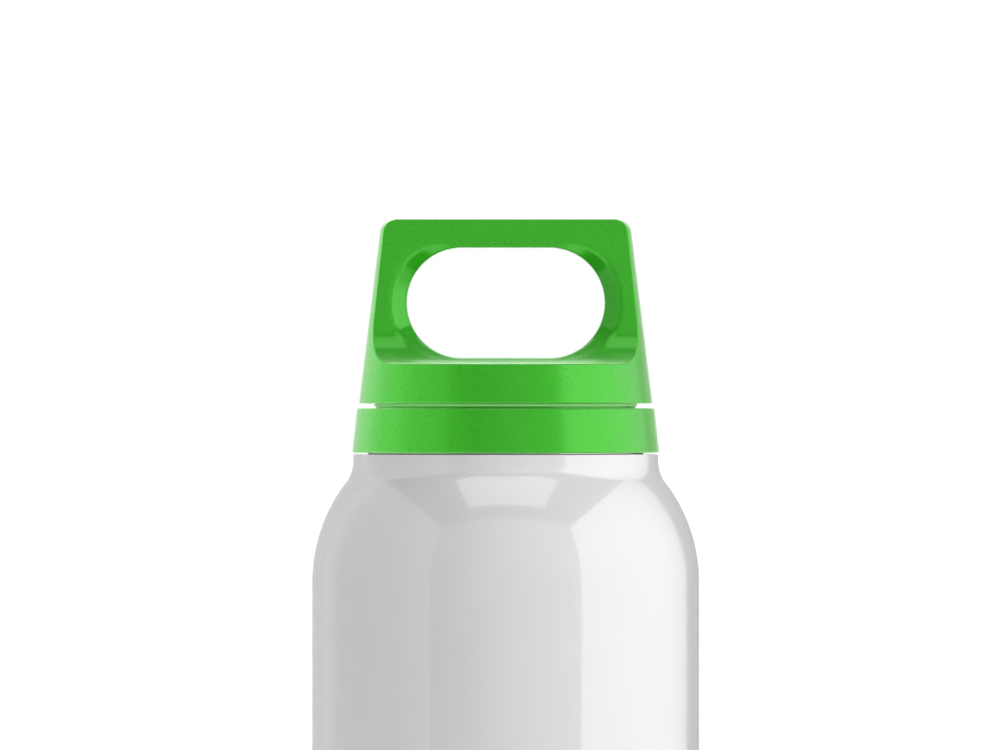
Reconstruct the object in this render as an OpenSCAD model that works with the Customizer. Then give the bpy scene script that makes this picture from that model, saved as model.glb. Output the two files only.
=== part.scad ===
// Insulated steel bottle with a screw collar, a tea strainer and a loop lid.
// Millimetres. +Z is up and the origin is the centre of the base, on the surface it stands on.
// The lid's flat loop spans X, so the finger window runs along Y.

/* [Body] */
// Outer diameter of the straight wall
body_d = 72; // [70:0.5:76]
// Height from the base to the lower edge of the collar
body_h = 192; // [160:1:240]
// Outer diameter of the neck just under the collar
neck_d = 56.8; // [56.4:0.2:58]
// Height of the shoulder, from the straight wall to the collar
shoulder_h = 24; // [23.5:0.1:25]
// Radius of the shoulder
shoulder_r = 31.3; // [30.5:0.1:32]
// Radius of the hollow between shoulder and neck
neck_fillet = 5.6; // [5:0.1:6]
// Thickness of the outer steel wall
outer_t = 0.6; // [0.4:0.1:0.8]
// Thickness of the inner steel wall
inner_t = 0.5; // [0.4:0.1:0.6]
// Width of the vacuum space between the walls
vacuum_gap = 3; // [2.6:0.1:3.2]
// Height of the drawn cover that closes the base
cover_h = 6; // [5:0.5:8]

/* [Collar] */
// Height of the collar
collar_h = 8.2; // [8:0.1:9]
// How much the collar's radius shrinks from bottom to top
collar_taper = 0.9; // [0.4:0.1:1.2]
// Height of the drinking lip above the collar
lip_h = 4.4; // [3:0.1:4.6]
// Diameter of the drinking lip
lip_d = 48; // [47.6:0.1:48.2]
// Depth of the threaded sleeve below the collar's top
sleeve_depth = 15; // [13:0.5:18]

/* [Lid] */
// Open gap between the collar and the lid
lid_gap = 0.9; // [0.6:0.1:1.5]
// Height of the lid
lid_h = 34; // [33:0.5:38]
// Diameter of the lid's lower edge
lid_d = 54.3; // [53.8:0.1:55]
// Draft of the lid's outside, in degrees
lid_draft = 7; // [6:0.5:8]
// Height of the round skirt below the loop
skirt_h = 7.35; // [7:0.05:8]
// Thickness of the loop at its top
loop_t = 10.6; // [9:0.2:12]
// Radius of the scoop where the loop's faces run out into the skirt
scoop_r = 11; // [9:0.5:12]
// Length of the finger window
window_w = 36.6; // [34:0.2:37]
// Height of the finger window
window_h = 20.4; // [18:0.2:20.8]
// Rounding of the window's two ends
flare_r = 3; // [2:0.2:3.6]

/* [Strainer] */
// Diameter of the basket
basket_d = 46.8; // [46.6:0.1:47]
// Depth of the basket below the bottle's mouth
basket_depth = 44; // [34:1:70]
// Diameter of each hole
hole_d = 1.6; // [1.2:0.1:2]
// Holes around the wall
hole_columns = 28; // [16:2:32]
// Rows of holes up the wall
hole_rows = 7; // [4:1:7]

/* [Hidden] */

$fn = 128;
green = "limegreen";
steel = "silver";
lacquer = "whitesmoke";

body_r = body_d / 2;
neck_r = neck_d / 2;
reach = 80;             // a length past everything that a cutter has to clear
fit = 0.05;             // gap left between pieces that press on each other but turn or lift apart
edge = 0.3;             // broken edge of the moulded pieces
blend = 0.01;           // growth that lets a round cutter cross the flats it would only touch

// Shoulder: a convex arc tangent to the wall, and a hollow arc tangent to it and to the neck.
shoulder_z = body_h - shoulder_h;
shoulder_x = body_r - shoulder_r;
hollow_x = neck_r + neck_fillet;
arc_span = shoulder_r + neck_fillet;
arc_run = hollow_x - shoulder_x;
arc_rise = sqrt(pow(arc_span, 2) - pow(arc_run, 2));
hollow_z = shoulder_z + arc_rise;

// Mouth: the outer wall steps in by the vacuum gap, so that it meets the inner wall.
mouth_r = neck_r - vacuum_gap;
inner_inset = outer_t + vacuum_gap;
bore_r = neck_r - inner_inset - inner_t;
ledge_drop = 0.25;      // the steel ledge stops this far below the collar

// The collar's top, and what is stacked under it down to the bottle's mouth.
collar_top = body_h + collar_h;
plate_t = 0.7;
flange_t = 1;
gasket_t = 1;
strainer_t = 0.4;
flange_z = collar_top - plate_t - flange_t;
rim_z = flange_z - gasket_t - strainer_t;

// Threaded sleeve and its seat.
lip_r = lip_d / 2;
lip_t = 2.1;
sleeve_r = 20.6;
sleeve_t = 2.1;
sleeve_z = collar_top - sleeve_depth;
seat_r = 18;
seat_t = 1.6;
skirt_in_r = mouth_r + 0.6;
trim_in_r = skirt_in_r + 0.9;
bead_r = 0.42;

// Lid.
lid_z = collar_top + lid_gap;
lid_r = lid_d / 2;
lid_top_r = lid_r - lid_h * tan(lid_draft);
corner_r = 2.3;
loop_draft = 4.5;
ledge_fall = 1;
flare_lift = 15;        // direction in which the window's rounding is widest, above the level
flare_reach = 8;        // how far its cutter stands out of the loop's face, past the scoop
window_z = lid_z + skirt_h + 1.05 + window_h / 2;
hollow_r = 24.9;
ceiling_h = 5.3;
ceiling_z = lid_z + ceiling_h;

// Stopper.
stopper_r = 20;
stopper_t = 1.6;
seal_z = sleeve_z + seat_t + fit;
seal_h = 1.6;
stopper_z = seal_z + seal_h + fit;
cap_neck_r = seat_r - 1;
cap_lip_r = seat_r - 0.4;
cap_drop = 3;

// Vacuum base and the pieces on it.
cover_corner = 4;
recess_r = 27.6;
recess_h = 2;
vacuum_base_z = 10;
dimple_r = 5;
dimple_h = 1.6;
vent_r = 0.75;
inner_floor_z = 15;
inner_base_h = 9;
inner_corner = 7;
foil_t = 0.15;
foil_margin = 6;
getter_r = 4;
getter_h = 2;
getter_x = 16;
clip_t = 0.4;

// Strainer.
basket_r = basket_d / 2;
basket_z = rim_z - basket_depth;
band_z = sleeve_z - 1;
basket_corner = 3;
row_pitch = (band_z - basket_z - basket_corner) / hole_rows;
floor_pitch = 4.4;
floor_rings = 3;

// ---- Half-sections: x is the radius and y is the height ----

// Everything inside the bottle's outer surface, shrunk by inset. Both walls are cut from it.
module body_section(inset) {
    meet_z = shoulder_z + (shoulder_r - inset) * arc_rise / arc_span;
    square([body_r - inset, shoulder_z]);
    intersection() {
        translate([shoulder_x, shoulder_z]) circle(r = shoulder_r - inset);
        translate([0, shoulder_z - 0.01]) square([body_r, meet_z - shoulder_z + 0.01]);
    }
    difference() {
        translate([0, meet_z - 0.01]) square([hollow_x, hollow_z - meet_z + 0.01]);
        translate([hollow_x, hollow_z]) circle(r = neck_fillet + inset);
    }
    translate([0, hollow_z - 0.01]) square([neck_r - inset, body_h - hollow_z + 0.01]);
}

// A round cup with a rounded lower corner, shrunk by inset but open at z_top.
module cup_section(r, z_bottom, z_top, corner, inset) {
    difference() {
        translate([0, z_bottom + inset]) square([r - inset, z_top - z_bottom - inset]);
        difference() {
            translate([r - corner, z_bottom]) square([corner + 1, corner]);
            translate([r - corner, z_bottom + corner]) circle(r = corner - inset);
        }
    }
}

// A drawn cup of even thickness.
module cup_shell(r, z_bottom, z_top, corner, t) {
    difference() {
        cup_section(r, z_bottom, z_top, corner, 0);
        cup_section(r, z_bottom, z_top + 1, corner, t);
    }
}

// The sunken middle of the base cover, grown by skin.
module recess_section(skin) {
    mouth = recess_r + skin * sqrt(2);
    top = recess_h + skin;
    polygon([[0, -1], [mouth + 1, -1], [mouth - top, top], [0, top]]);
}

module band(r_in, r_out, z_low, z_high) {
    translate([r_in, z_low]) square([r_out - r_in, z_high - z_low]);
}

// ---- Bottle ----

// Outer steel wall: straight tube, shoulder and neck, then a ledge and the threaded mouth.
module outer_shell() {
    ledge_z = body_h - ledge_drop;
    color(lacquer) rotate_extrude() difference() {
        union() {
            intersection() {
                body_section(0);
                translate([0, cover_h]) square([reach, ledge_z - cover_h]);
            }
            band(0, mouth_r, ledge_z - 1, rim_z - inner_t);
        }
        intersection() {
            body_section(outer_t);
            translate([0, -1]) square([reach, ledge_z - outer_t + 1]);
        }
        translate([-1, 0]) square([mouth_r - outer_t + 1, rim_z]);
    }
}

// Inner steel wall: its mouth turns out over the edge of the outer wall, where they are welded.
module inner_wall() {
    low_z = inner_floor_z + inner_base_h;
    color(steel) rotate_extrude() difference() {
        union() {
            intersection() {
                body_section(inner_inset);
                translate([0, low_z]) square([reach, reach * 3]);
            }
            band(0, bore_r + inner_t, body_h - 1, rim_z);
            band(0, mouth_r, rim_z - inner_t, rim_z);
        }
        body_section(inner_inset + inner_t);
        translate([-1, body_h - 1]) square([bore_r + 1, rim_z - body_h + 2]);
    }
}

// Pressed floor of the inner vessel.
module inner_base() {
    color(steel) rotate_extrude()
        cup_shell(body_r - inner_inset, inner_floor_z, inner_floor_z + inner_base_h, inner_corner, inner_t);
}

// Foil around the inner wall that turns radiant heat back.
module radiation_foil() {
    r = body_r - inner_inset;
    low_z = inner_floor_z + inner_base_h + foil_margin;
    color("gainsboro") rotate_extrude() band(r, r + foil_t, low_z, shoulder_z - foil_margin);
}

// Pressed disc that closes the vacuum space, with the vent in its raised middle.
module outer_base() {
    r = body_r - outer_t;
    top = vacuum_base_z + outer_t;
    color(steel) rotate_extrude() {
        difference() {
            band(r - 2, r, cover_h, top);
            translate([r - 2, cover_h - 1]) square([2 - outer_t, vacuum_base_z - cover_h + 1]);
        }
        polygon([
            [vent_r, top + dimple_h], [vent_r, vacuum_base_z + dimple_h],
            [dimple_r - 2, vacuum_base_z + dimple_h], [dimple_r, vacuum_base_z],
            [r - 1, vacuum_base_z], [r - 1, top],
            [dimple_r, top], [dimple_r - 2, top + dimple_h]]);
    }
}

// Bead of solder glass that closes the vent after the air is drawn out.
module vacuum_seal_bead() {
    bead_d = 5;
    ceiling = vacuum_base_z + dimple_h;
    color("darkslategray") {
        translate([0, 0, ceiling]) cylinder(r = vent_r, h = outer_t, $fn = 32);
        difference() {
            translate([0, 0, ceiling + 1.5]) sphere(d = bead_d, $fn = 64);
            translate([-bead_d, -bead_d, ceiling]) cube([2 * bead_d, 2 * bead_d, bead_d]);
        }
    }
}

// Pill that soaks up the last gas in the vacuum.
module getter() {
    color("dimgray") translate([getter_x, 0, vacuum_base_z + outer_t])
        cylinder(r = getter_r, h = getter_h, $fn = 48);
}

// Strap that holds the getter on the vacuum base.
module getter_clip() {
    clip_w = 5;
    foot = 2.5;
    half = getter_r + 0.1;
    color(steel) translate([getter_x, clip_w / 2, vacuum_base_z + outer_t]) rotate([90, 0, 0])
        linear_extrude(clip_w) {
            translate([-half - foot, 0]) square([foot, clip_t]);
            translate([half, 0]) square([foot, clip_t]);
            difference() {
                translate([-half - clip_t, 0]) square([2 * (half + clip_t), getter_h + 0.1 + clip_t]);
                translate([-half, -1]) square([2 * half, getter_h + 0.1 + 1]);
            }
        }
}

// Drawn cover under the bottle: it stands on a flat ring around a sunken middle.
module base_cover() {
    color(steel) rotate_extrude() difference() {
        cup_section(body_r, 0, cover_h, cover_corner, 0);
        recess_section(0);
        difference() {
            cup_section(body_r, 0, cover_h + 1, cover_corner, outer_t);
            recess_section(outer_t);
        }
    }
}

// ---- Strainer ----

// Solid band with a flange that rests on the bottle's mouth.
module strainer_rim() {
    color(steel) rotate_extrude() {
        band(basket_r - strainer_t, basket_r, band_z, rim_z + strainer_t);
        band(basket_r - strainer_t, mouth_r - 0.2, rim_z + fit, rim_z + strainer_t);
    }
}

// Perforated wall: each row of holes is turned by half a step from the one below.
module strainer_basket() {
    low_z = basket_z + basket_corner;
    column_step = 360 / hole_columns;
    color(steel) difference() {
        rotate_extrude() band(basket_r - strainer_t, basket_r, low_z, band_z);
        for (row = [0 : hole_rows - 1], column = [0 : hole_columns - 1])
            rotate((column + (row % 2) / 2) * column_step)
                translate([basket_r, 0, low_z + (row + 0.5) * row_pitch]) rotate([0, 90, 0])
                    cylinder(d = hole_d, h = 4, center = true, $fn = 16);
    }
}

// Perforated floor with a rounded edge.
module strainer_floor() {
    color(steel) difference() {
        rotate_extrude()
            cup_shell(basket_r, basket_z, basket_z + basket_corner, basket_corner, strainer_t);
        translate([0, 0, basket_z - 1]) {
            cylinder(d = hole_d, h = 2, $fn = 16);
            for (ring = [1 : floor_rings], turn = [0 : 6 * ring - 1])
                rotate(turn * 60 / ring) translate([ring * floor_pitch, 0])
                    cylinder(d = hole_d, h = 2, $fn = 16);
        }
    }
}

// ---- Collar ----

// Soft ring that the collar presses onto the strainer's flange and the mouth.
module mouth_gasket() {
    color("gainsboro") rotate_extrude()
        band(basket_r, mouth_r + 0.2, rim_z + strainer_t + fit, flange_z - fit);
}

// Moulded outer ring, drafted like the lid.
module collar() {
    top_r = neck_r - collar_taper;
    color(green) rotate_extrude() polygon([
        [trim_in_r, body_h], [neck_r - edge, body_h], [neck_r, body_h + edge],
        [top_r, collar_top - edge], [top_r - edge, collar_top],
        [lip_r, collar_top], [lip_r, collar_top - plate_t], [trim_in_r, collar_top - plate_t]]);
}

// Inner moulding of the collar: it screws over the steel mouth, carries the drinking lip,
// and its sleeve takes the stopper and ends in the seat for the seal.
module drinking_spout() {
    lip_z = collar_top + lip_h - lip_t / 2;
    color(green) rotate_extrude() difference() {
        union() {
            band(skirt_in_r, trim_in_r, body_h + edge, flange_z + 0.5);
            band(sleeve_r, trim_in_r, flange_z, flange_z + flange_t);
            band(sleeve_r, lip_r, flange_z, collar_top);
            band(lip_r - lip_t, lip_r, collar_top - 1, lip_z);
            translate([lip_r - lip_t / 2, lip_z]) circle(d = lip_t, $fn = 48);
            translate([lip_r - 0.1, collar_top + bead_r]) circle(r = bead_r, $fn = 32);
            band(sleeve_r, sleeve_r + sleeve_t, sleeve_z, flange_z + 0.5);
            band(seat_r, sleeve_r + 0.5, sleeve_z, sleeve_z + seat_t);
        }
    }
}

// ---- Lid ----

// Soft ring under the stopper that closes on the sleeve's seat.
module stopper_seal() {
    color("gainsboro") rotate_extrude() band(cap_neck_r + fit, stopper_r, seal_z, seal_z + seal_h);
}

// Side view of what is cut away in front of the loop: a drafted face, a round scoop and a ledge.
module scoop_profile() {
    centre_h = skirt_h + scoop_r;
    face_top = loop_t / 2;
    centre_y = face_top + (lid_h - centre_h) * tan(loop_draft) + scoop_r / cos(loop_draft);
    ledge_y = centre_y - scoop_r * sin(ledge_fall);
    ledge_h = centre_h - scoop_r * cos(ledge_fall);
    face_y = centre_y - scoop_r * cos(loop_draft);
    face_h = centre_h - scoop_r * sin(loop_draft);
    far_y = lid_r + 5;
    translate([centre_y, centre_h]) circle(r = scoop_r + blend);
    polygon([
        [face_top - tan(loop_draft), lid_h + 1], [face_y, face_h], [centre_y, centre_h],
        [ledge_y, ledge_h], [far_y, ledge_h - (far_y - ledge_y) * tan(ledge_fall)], [far_y, lid_h + 1]]);
}

// Front view of the finger window.
module window_profile() {
    straight = window_w - window_h;
    square([straight, window_h], center = true);
    for (side = [-1, 1]) translate([side * straight / 2, 0]) circle(d = window_h);
}

// Cutter that rounds the edge of one end of the window. Its ring is as wide as the window's end but
// set outwards and a little upwards, so the rounding is widest at the side and fades out at both
// of its ends, where the two circles cross.
module window_flare() {
    ring_r = window_h / 2;
    fade = 90 + asin(flare_r / 2 / ring_r);
    face_y = loop_t / 2 + (lid_h + lid_z - window_z) * tan(loop_draft);
    translate([(window_w - window_h) / 2, face_y, window_z]) rotate([90 - loop_draft, 0, 0])
        translate([flare_r * cos(flare_lift), flare_r * sin(flare_lift), 0])
            rotate_extrude(angle = 2 * fade, start = flare_lift - fade) difference() {
                translate([0, -flare_reach]) square([ring_r, flare_reach + flare_r + 1]);
                translate([ring_r, flare_r]) circle(r = flare_r, $fn = 64);
            }
}

// Cutter that rounds one upper corner of the loop.
module corner_cutter() {
    corner_x = lid_r - (lid_h - corner_r) * tan(lid_draft) - corner_r / cos(lid_draft);
    tangent_h = lid_h - corner_r * (1 - sin(lid_draft));
    translate([0, reach / 2, lid_z]) rotate([90, 0, 0]) linear_extrude(reach) difference() {
        translate([corner_x, tangent_h]) square([2 * corner_r, corner_r]);
        translate([corner_x, lid_h - corner_r]) circle(r = corner_r);
    }
}

// Moulded lid: a drafted cone, scooped away front and back to leave a flat loop above the skirt.
module lid_shell() {
    color(green) difference() {
        translate([0, 0, lid_z]) cylinder(r1 = lid_r, r2 = lid_top_r, h = lid_h);
        for (turn = [0, 180]) rotate(turn) {
            translate([-reach / 2, 0, lid_z]) rotate([90, 0, 90]) linear_extrude(reach) scoop_profile();
            corner_cutter();
            for (side = [0, 1]) mirror([side, 0, 0]) window_flare();
        }
        translate([0, reach / 2, window_z]) rotate([90, 0, 0]) linear_extrude(reach) window_profile();
        translate([0, 0, lid_z - 1]) cylinder(r = hollow_r, h = ceiling_h + 1);
    }
}

// Moulded plug that screws into the sleeve, welded under the lid.
module stopper() {
    flange_w = 2;
    color("dimgray") rotate_extrude() {
        band(stopper_r - stopper_t, stopper_r, stopper_z, ceiling_z);
        band(stopper_r - stopper_t, stopper_r + flange_w, ceiling_z - 0.6, ceiling_z);
    }
}

// Foam that fills the plug.
module stopper_foam() {
    color("ivory") translate([0, 0, stopper_z + 2])
        cylinder(r = stopper_r - stopper_t - 0.1, h = ceiling_z - stopper_z - 2.1);
}

// Lower end of the plug: it closes the foam in, and its lip keeps the seal on.
module stopper_end_cap() {
    floor_t = 1.5;
    color("dimgray") rotate_extrude() difference() {
        union() {
            band(0, cap_lip_r, stopper_z - seal_h - cap_drop, seal_z - 0.6);
            band(0, cap_neck_r, seal_z - 1, stopper_z);
            band(0, stopper_r - stopper_t, stopper_z, stopper_z + 1.9);
        }
        translate([-1, stopper_z - seal_h - cap_drop + floor_t])
            square([cap_neck_r - 0.5, reach]);
    }
}

outer_shell();
inner_wall();
inner_base();
radiation_foil();
outer_base();
vacuum_seal_bead();
getter();
getter_clip();
base_cover();
strainer_rim();
strainer_basket();
strainer_floor();
mouth_gasket();
collar();
drinking_spout();
stopper_seal();
lid_shell();
stopper();
stopper_foam();
stopper_end_cap();
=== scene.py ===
from math import acos, atan2, ceil, cos, pi, radians, sin, sqrt, tan

import bmesh
import bpy
import numpy as np
from mathutils import Matrix, Vector


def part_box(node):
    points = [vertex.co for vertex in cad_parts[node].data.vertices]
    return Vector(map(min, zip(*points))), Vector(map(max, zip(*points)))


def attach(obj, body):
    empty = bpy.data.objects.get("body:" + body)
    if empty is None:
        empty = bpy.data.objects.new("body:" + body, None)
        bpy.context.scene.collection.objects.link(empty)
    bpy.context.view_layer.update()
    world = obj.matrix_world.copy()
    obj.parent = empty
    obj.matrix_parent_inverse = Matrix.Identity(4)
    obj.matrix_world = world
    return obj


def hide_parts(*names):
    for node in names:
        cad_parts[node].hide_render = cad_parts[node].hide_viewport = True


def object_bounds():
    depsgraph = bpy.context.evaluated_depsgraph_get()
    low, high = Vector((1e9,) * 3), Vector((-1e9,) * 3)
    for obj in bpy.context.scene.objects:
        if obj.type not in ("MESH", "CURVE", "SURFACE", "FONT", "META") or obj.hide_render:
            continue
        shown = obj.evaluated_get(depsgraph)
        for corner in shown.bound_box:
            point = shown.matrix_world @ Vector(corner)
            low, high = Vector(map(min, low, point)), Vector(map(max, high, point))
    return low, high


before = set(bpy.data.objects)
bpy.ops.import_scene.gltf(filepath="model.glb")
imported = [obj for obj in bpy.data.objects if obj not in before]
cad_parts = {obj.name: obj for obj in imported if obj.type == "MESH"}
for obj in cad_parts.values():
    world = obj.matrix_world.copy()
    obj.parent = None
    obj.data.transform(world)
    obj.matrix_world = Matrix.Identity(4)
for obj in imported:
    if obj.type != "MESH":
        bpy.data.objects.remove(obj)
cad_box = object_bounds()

mm = 0.001


# ---- Camera ----
# It looks level at the lid from far away with a long lens, so that the round parts show no ellipses.
# The frame takes in the lid, the collar, the shoulder and the top of the straight wall.

lens = 500.0
sensor = 36.0
field_width = 185 * mm
aim_x = -1.06 * mm
aim_below_top = 28.75 * mm
camera_data = bpy.data.cameras.new("long_lens")
camera_data.lens = lens
camera_data.sensor_width = sensor
camera = bpy.data.objects.new("camera", camera_data)
camera.location = (aim_x, -field_width * lens / sensor, cad_box[1].z - aim_below_top)
camera.rotation_euler = (pi / 2, 0, 0)
bpy.context.collection.objects.link(camera)
bpy.context.scene.camera = camera


# ---- Inner vessel ----
# The steel that holds the drink: a pressed floor welded to a drawn wall with a neck.
# It is electropolished inside and out, and the wall's lip is turned out over the bottle's mouth.

def turned(name, corners, sides=192, sag=0.004 * mm, sharpest=0.02 * mm):
    """A round piece spun about the bottle's axis from its half-section.

    corners are (radius, height, rounding), anticlockwise with the radius to the right. Each becomes
    an arc of that rounding, or of the sharpest one, whose steps stay within sag of the round.
    Every point keeps its exact normal, so that reflections run clean.
    """
    on_axis = corners[0][0] == 0
    places = [Vector(corner[:2]) for corner in corners]
    points, normals = [], []

    def put(point, normal):
        if not points or (point - points[-1]).length > 1e-7:
            points.append(point)
            normals.append(normal)

    for i, here in enumerate(places):
        come = (here - places[i - 1]).normalized()
        go = (places[(i + 1) % len(places)] - here).normalized()
        if on_axis and i == 0:
            come = go
        if on_axis and i == len(places) - 1:
            go = come
        out = Vector((come.y, -come.x))
        bend = atan2(come.x * go.y - come.y * go.x, come.dot(go))
        if abs(bend) < 1e-6:
            put(here, out)
            continue
        rounding = max(corners[i][2] if len(corners[i]) > 2 else 0, sharpest)
        side = 1 if bend > 0 else -1
        centre = here - come * rounding * tan(abs(bend) / 2) - out * rounding * side
        steps = max(3, ceil(abs(bend) / (2 * acos(max(0.5, 1 - sag / rounding)))))
        for step in range(steps + 1):
            lean = bend * step / steps
            normal = Vector((out.x * cos(lean) - out.y * sin(lean), out.x * sin(lean) + out.y * cos(lean)))
            put(centre + normal * rounding * side, normal)

    angles = [2 * pi * k / sides for k in range(sides)]
    vertices, vertex_normals, rings = [], [], []
    for point, normal in zip(points, normals):
        if point.x < 1e-7:
            rings.append([len(vertices)] * sides)
            vertices.append((0, 0, point.y))
            vertex_normals.append((0, 0, 1 if normal.y > 0 else -1))
            continue
        rings.append(range(len(vertices), len(vertices) + sides))
        vertices += [(point.x * cos(a), point.x * sin(a), point.y) for a in angles]
        vertex_normals += [(normal.x * cos(a), normal.x * sin(a), normal.y) for a in angles]
    faces = []
    for low, high in zip(rings, rings[1:] + ([] if on_axis else rings[:1])):
        for k in range(sides):
            loop = [low[k], low[(k + 1) % sides], high[(k + 1) % sides], high[k]]
            faces.append(list(dict.fromkeys(loop)))
    mesh = bpy.data.meshes.new(name)
    mesh.from_pydata(vertices, [], faces)
    mesh.shade_smooth()
    mesh.normals_split_custom_set_from_vertices(vertex_normals)
    piece = bpy.data.objects.new(name, mesh)
    bpy.context.collection.objects.link(piece)
    return piece


def stands_for(piece, node, body, material):
    """Dresses a piece and puts it in the place of its CAD node."""
    piece.data.materials.clear()
    piece.data.materials.append(material)
    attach(piece, body)
    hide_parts(node)


def add(tree, kind, sockets=None, **settings):
    """Adds a node. settings are its fields, and sockets gives inputs a value or an output to read."""
    made = tree.nodes.new(kind)
    for field, value in settings.items():
        setattr(made, field, value)
    for key, value in (sockets or {}).items():
        if isinstance(value, bpy.types.NodeSocket):
            tree.links.new(value, made.inputs[key])
        else:
            made.inputs[key].default_value = value
    return made


def calc(tree, operation, *values):
    """Adds a maths node on numbers or outputs, and gives its result."""
    return add(tree, "ShaderNodeMath", dict(enumerate(values)), operation=operation).outputs[0]


def finish_of(name, colour, roughness, **sockets):
    """A new surface material, its node tree, its shader and the place on the piece, in metres.

    sockets sets the shader's other inputs.
    """
    material = bpy.data.materials.new(name)
    material.use_nodes = True
    tree = material.node_tree
    shader = tree.nodes["Principled BSDF"]
    shader.inputs["Base Color"].default_value = (*colour, 1)
    shader.inputs["Roughness"].default_value = roughness
    for key, value in sockets.items():
        shader.inputs[key.replace("_", " ")].default_value = value
    return material, tree, shader, add(tree, "ShaderNodeTexCoord").outputs["Object"]


def varied(tree, shader, pattern, darker, lighter, rougher=None):
    """Lets a pattern from 0 to 1 vary the colour, and the roughness too where rougher gives its ends."""
    colour = add(tree, "ShaderNodeMix", {"Factor": pattern, "A": (*darker, 1), "B": (*lighter, 1)},
                 data_type="RGBA")
    tree.links.new(colour.outputs[2], shader.inputs["Base Color"])
    if rougher:
        least, most = rougher
        reach = add(tree, "ShaderNodeMapRange", {"Value": pattern, "To Min": least, "To Max": most})
        tree.links.new(reach.outputs[0], shader.inputs["Roughness"])


def bumped(tree, shader, heights, depth, skin="Normal"):
    """Raises the surface, or a coat over it, by the sum of the patterns in heights times depth."""
    total = heights[0]
    for height in heights[1:]:
        total = calc(tree, "ADD", total, height)
    bump = add(tree, "ShaderNodeBump", {"Height": total, "Strength": 1.0, "Distance": depth})
    tree.links.new(bump.outputs[0], shader.inputs[skin])


def noise(tree, where, scale, detail=3.0, roughness=0.5):
    """A cloudy pattern round 0.5, with scale features to the metre."""
    return add(tree, "ShaderNodeTexNoise",
               {"Vector": where, "Scale": scale, "Detail": detail, "Roughness": roughness}).outputs["Fac"]


def round_brushing(tree, place, across, along):
    """Coordinates for fine lines that run round the axis: dense across them, slow along them."""
    xyz = add(tree, "ShaderNodeSeparateXYZ", {0: place})
    flat = add(tree, "ShaderNodeCombineXYZ", {"X": xyz.outputs[0], "Y": xyz.outputs[1]})
    radius = add(tree, "ShaderNodeVectorMath", {0: flat.outputs[0]}, operation="LENGTH").outputs["Value"]
    turn = add(tree, "ShaderNodeVectorMath", {0: flat.outputs[0]}, operation="NORMALIZE").outputs[0]
    slow = add(tree, "ShaderNodeVectorMath", {0: turn, "Scale": along}, operation="SCALE").outputs[0]
    level = calc(tree, "ADD", radius, xyz.outputs[2])
    dense = calc(tree, "MULTIPLY", level, across)
    lift = add(tree, "ShaderNodeCombineXYZ", {"Z": dense})
    return add(tree, "ShaderNodeVectorMath", {0: slow, 1: lift.outputs[0]}, operation="ADD").outputs[0]


def brushed_steel(name, colour, roughness, line_depth):
    """Steel with fine lines from a brush or a lathe and faint clouds in its tone."""
    material, tree, shader, place = finish_of(name, colour, roughness, Metallic=1.0, Anisotropic=0.35)
    lines = round_brushing(tree, place, across=9000.0, along=2.5)
    grain = noise(tree, lines, 1.0, 4.0, 0.65)
    clouds = noise(tree, place, 90.0, 2.0)
    mixed = calc(tree, "MULTIPLY_ADD", grain, 0.6, clouds)
    tone = calc(tree, "MULTIPLY", mixed, 0.62)
    varied(tree, shader, tone, [0.8 * c for c in colour], [min(1, 1.12 * c) for c in colour],
           (roughness * 0.7, roughness * 1.35))
    bumped(tree, shader, [grain], line_depth)
    return material


collar_low, collar_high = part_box("collar")
body_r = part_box("outer_shell")[1].x
neck_r = collar_high.x
shoulder_r, hollow_r = 31.3 * mm, 5.6 * mm
shoulder_drop = 24 * mm
shoulder_z = collar_low.z - shoulder_drop
lean = acos((neck_r + hollow_r - body_r + shoulder_r) / (shoulder_r + hollow_r))
hollow_z = shoulder_z + (shoulder_r + hollow_r) * sin(lean)


def shoulder(inset):
    """The two rounded corners of the shoulder, on a wall that lies inset inside the bottle's surface."""
    return [(body_r - inset, shoulder_z + (shoulder_r - inset) * tan(lean / 2), shoulder_r - inset),
            (neck_r - inset, hollow_z - (hollow_r + inset) * tan(lean / 2), hollow_r + inset)]


inner_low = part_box("inner_wall")[0].z
mouth_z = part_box("inner_wall")[1].z
inner_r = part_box("inner_wall")[1].x
inner_t = 0.5 * mm
inner_inset = body_r - inner_r
gasket_overhang = 0.2 * mm
mouth_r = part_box("mouth_gasket")[1].x - gasket_overhang
bore_r = neck_r - inner_inset - inner_t
inner_steel = brushed_steel("electropolished_steel", (0.62, 0.61, 0.59), 0.2, 0.004 * mm)

inner_wall = turned("inner_wall_drawn", [
    (inner_r - inner_t, inner_low), (inner_r, inner_low), *shoulder(inner_inset),
    (bore_r + inner_t, mouth_z - inner_t), (mouth_r, mouth_z - inner_t, 0.1 * mm),
    (mouth_r, mouth_z, 0.2 * mm), (bore_r, mouth_z, 0.25 * mm),
    *reversed(shoulder(inner_inset + inner_t))])
stands_for(inner_wall, "inner_wall", "bottle", inner_steel)

floor_low, floor_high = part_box("inner_base")
floor_corner = 7 * mm
inner_base = turned("inner_base_pressed", [
    (0, floor_low.z), (floor_high.x, floor_low.z, floor_corner), (floor_high.x, floor_high.z),
    (floor_high.x - inner_t, floor_high.z),
    (floor_high.x - inner_t, floor_low.z + inner_t, floor_corner - inner_t), (0, floor_low.z + inner_t)])
stands_for(inner_base, "inner_base", "bottle", inner_steel)


# ---- Radiation foil ----
# Thin metal foil wrapped once round the inner wall, in the vacuum, to turn radiant heat back.
# It is creased from being wrapped by hand.

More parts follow.
